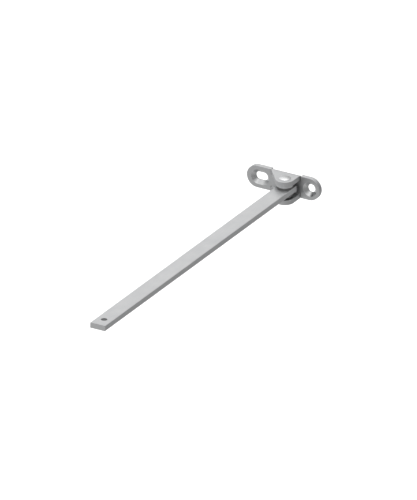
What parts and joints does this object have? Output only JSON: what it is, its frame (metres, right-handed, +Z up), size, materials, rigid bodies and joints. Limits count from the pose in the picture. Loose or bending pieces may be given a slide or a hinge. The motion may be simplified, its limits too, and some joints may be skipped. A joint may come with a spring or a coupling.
{
  "type": "friction stay hinge",
  "caption": "Friction stay: a flat steel bar arm pivots stiffly on a rivet between the folded lugs of a small two-hole sheet bracket.",
  "frame": {"origin": "on the bracket's mounting face, straight behind the pivot axis and at mid-height between the two lugs", "axes": "+X along the bracket towards its round screw hole, +Y out of the mounting face into the frame it is screwed to, +Z up along the pivot axis towards the rivet's domed head; the arm leaves along -Y"},
  "size_m": [0.045, 0.2088, 0.0153],
  "materials": {
    "bracket_steel": "satin, barrel-finished sheet steel, neutral grey",
    "arm_steel": "satin, drawn flat bar, faint lengthwise grain",
    "rivet_steel": "smooth, brighter than the bracket",
    "washer_steel": "turned edge, satin",
    "friction_polymer": "matt grey filled polymer",
    "bush_bronze": "sintered, matt",
    "spring_steel": "dark oiled spring steel"
  },
  "bodies": {
    "bracket_set": {"bracket": "bracket_steel", "pivot_rivet": "rivet_steel", "upper_spacer_washer": "washer_steel", "pressure_washer": "washer_steel", "disc_spring_upper": "spring_steel", "disc_spring_lower": "spring_steel"},
    "arm_set": {"arm": "arm_steel", "arm_bush": "bush_bronze", "upper_friction_disc": "friction_polymer", "lower_friction_disc": "friction_polymer"}
  },
  "joints": [
    {"name": "arm_pivot", "type": "hinge", "parent": "bracket_set", "child": "arm_set", "pos_m": [0, -0.00965, 0], "axis": [0, 0, 1], "range_deg": [-90, 90]}
  ]
}
